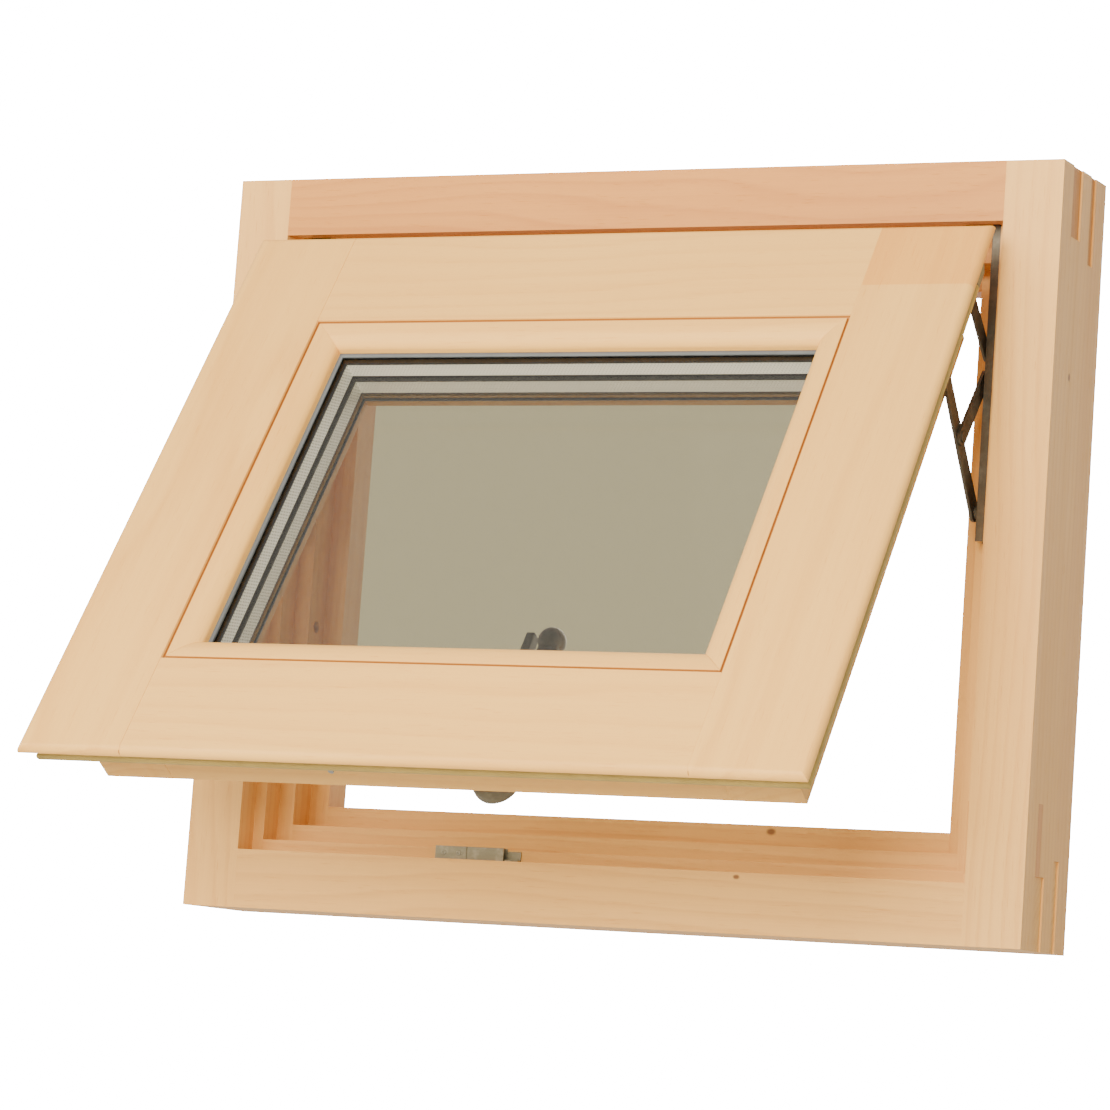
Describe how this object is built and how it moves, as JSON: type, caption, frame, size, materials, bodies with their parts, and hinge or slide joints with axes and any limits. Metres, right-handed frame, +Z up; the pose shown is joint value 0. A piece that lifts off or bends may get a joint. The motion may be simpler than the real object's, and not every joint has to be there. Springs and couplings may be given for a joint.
{
  "type": "top swing window sash with frame",
  "caption": "Pale softwood window: a glazed sash swung out at its foot from a stepped frame, on track and arm hinges, with a crank handle and a keeper on the sill.",
  "frame": {"origin": "centre of the frame's underside, which rests on the wall opening's sill", "axes": "+X along the sill to the right as seen from outside, +Y into the room, +Z up"},
  "size_m": [0.59, 0.3468, 0.49],
  "materials": {
    "frame_timber": "clear sealed pine",
    "sash_timber": "clear sealed pine, fine sanded",
    "bead_timber": "clear sealed pine",
    "glass": "clear low-emissivity glass",
    "spacer_metal": "mill finish, perforated",
    "sealant": "matt",
    "glazing_rubber": "matt",
    "grey_plastic": "matt",
    "seal_khaki": "satin thermoplastic",
    "nylon": "moulded",
    "hinge_steel": "dark bronze passivated",
    "slider_metal": "satin",
    "screw_steel": "zinc plated",
    "keeper_zinc": "die cast zinc, tumbled",
    "lock_steel": "zinc plated",
    "handle_paint": "olive bronze, satin"
  },
  "bodies": {
    "frame": {"frame_stile_left": "frame_timber", "frame_stile_right": "frame_timber", "frame_head": "frame_timber", "frame_sill": "frame_timber", "track_left": "hinge_steel", "track_right": "hinge_steel", "track_screws": "screw_steel", "keeper": "keeper_zinc", "keeper_entry": "keeper_zinc", "keeper_screws": "screw_steel"},
    "sash": {"sash_stile_left": "sash_timber", "sash_stile_right": "sash_timber", "sash_rail_top": "sash_timber", "sash_rail_bottom": "sash_timber", "pane_outer": "glass", "pane_middle": "glass", "pane_inner": "glass", "spacer_outer": "spacer_metal", "spacer_inner": "spacer_metal", "edge_sealant": "sealant", "glazing_tape": "glazing_rubber", "glazing_wedge": "glazing_rubber", "setting_blocks": "grey_plastic", "bead_left": "bead_timber", "bead_right": "bead_timber", "bead_top": "bead_timber", "bead_bottom": "bead_timber", "sash_seal": "seal_khaki", "inner_seal": "seal_khaki", "corner_guide_left": "nylon", "corner_guide_right": "nylon", "sash_plate_left": "hinge_steel", "sash_plate_right": "hinge_steel", "sash_plate_screws": "screw_steel", "lock_case": "lock_steel", "lock_faceplate": "lock_steel", "handle_rose": "handle_paint", "rose_screws": "screw_steel"},
    "arm_right": {"arm_right": "hinge_steel"},
    "arm_left": {"arm_left": "hinge_steel"},
    "link_right": {"link_right": "hinge_steel"},
    "link_left": {"link_left": "hinge_steel"},
    "slider_right": {"slider_right": "slider_metal"},
    "slider_left": {"slider_left": "slider_metal"},
    "guide_right": {"guide_right": "hinge_steel"},
    "guide_left": {"guide_left": "hinge_steel"},
    "handle": {"handle_spindle": "lock_steel", "crank_arm": "handle_paint", "crank_knob": "handle_paint"},
    "lock_bolt": {"lock_rod": "lock_steel", "lock_cam": "lock_steel"},
    "catch": {"release_catch": "handle_paint"}
  },
  "joints": [
    {"name": "opening", "type": "hinge", "parent": "frame", "child": "arm_right", "pos_m": [0.239, -0.013, 0.271], "axis": [1, 0, 0], "range_deg": [-33.24, 8]},
    {"name": "sash_tilt", "type": "hinge", "parent": "arm_right", "child": "sash", "pos_m": [0.239, -0.0894, 0.36621], "axis": [1, 0, 0], "range_deg": [-16.18, 66.86]},
    {"name": "arm_left_swing", "type": "hinge", "parent": "frame", "child": "arm_left", "pos_m": [-0.239, -0.013, 0.271], "axis": [1, 0, 0], "range_deg": [-33.35, 8.12]},
    {"name": "link_right_swing", "type": "hinge", "parent": "arm_right", "child": "link_right", "pos_m": [0.239, -0.04716, 0.31358], "axis": [1, 0, 0], "range_deg": [-16.12, 66.59]},
    {"name": "slider_right_run", "type": "hinge", "parent": "link_right", "child": "slider_right", "pos_m": [0.239, -0.013, 0.35615], "axis": [1, 0, 0], "range_deg": [-33.35, 8.12]},
    {"name": "guide_right_swing", "type": "hinge", "parent": "slider_right", "child": "guide_right", "pos_m": [0.239, -0.013, 0.37183], "axis": [1, 0, 0], "range_deg": [-43.59, 10.59]},
    {"name": "link_left_swing", "type": "hinge", "parent": "arm_left", "child": "link_left", "pos_m": [-0.239, -0.04716, 0.31358], "axis": [1, 0, 0], "range_deg": [-16.12, 66.59]},
    {"name": "slider_left_run", "type": "hinge", "parent": "link_left", "child": "slider_left", "pos_m": [-0.239, -0.013, 0.35615], "axis": [1, 0, 0], "range_deg": [-33.35, 8.12]},
    {"name": "guide_left_swing", "type": "hinge", "parent": "slider_left", "child": "guide_left", "pos_m": [-0.239, -0.013, 0.37183], "axis": [1, 0, 0], "range_deg": [-43.59, 10.59]},
    {"name": "handle_turn", "type": "hinge", "parent": "sash", "child": "handle", "pos_m": [0.008, -0.19169, 0.07955], "axis": [0, 0.8339, -0.5519], "range_deg": [-90, 0]},
    {"name": "lock_slide", "type": "slide", "parent": "sash", "child": "lock_bolt", "axis": [1, 0, 0], "range_m": [-0.0181, 0.0001]},
    {"name": "catch_press", "type": "slide", "parent": "handle", "child": "catch", "axis": [1, 0, 0], "range_m": [0, 0.0025], "stiffness_N_per_m": 400, "springref_m": -0.002}
  ],
  "couplings": [
    {"joint": "sash_tilt", "follows": "opening", "ratio": -2.008},
    {"joint": "arm_left_swing", "follows": "opening", "ratio": 1},
    {"joint": "link_right_swing", "follows": "opening", "ratio": -2},
    {"joint": "slider_right_run", "follows": "opening", "ratio": 1},
    {"joint": "guide_right_swing", "follows": "opening", "ratio": 1.3081},
    {"joint": "link_left_swing", "follows": "opening", "ratio": -2},
    {"joint": "slider_left_run", "follows": "opening", "ratio": 1},
    {"joint": "guide_left_swing", "follows": "opening", "ratio": 1.3081},
    {"joint": "lock_slide", "follows": "handle_turn", "m_per_rad": 0.011459}
  ]
}
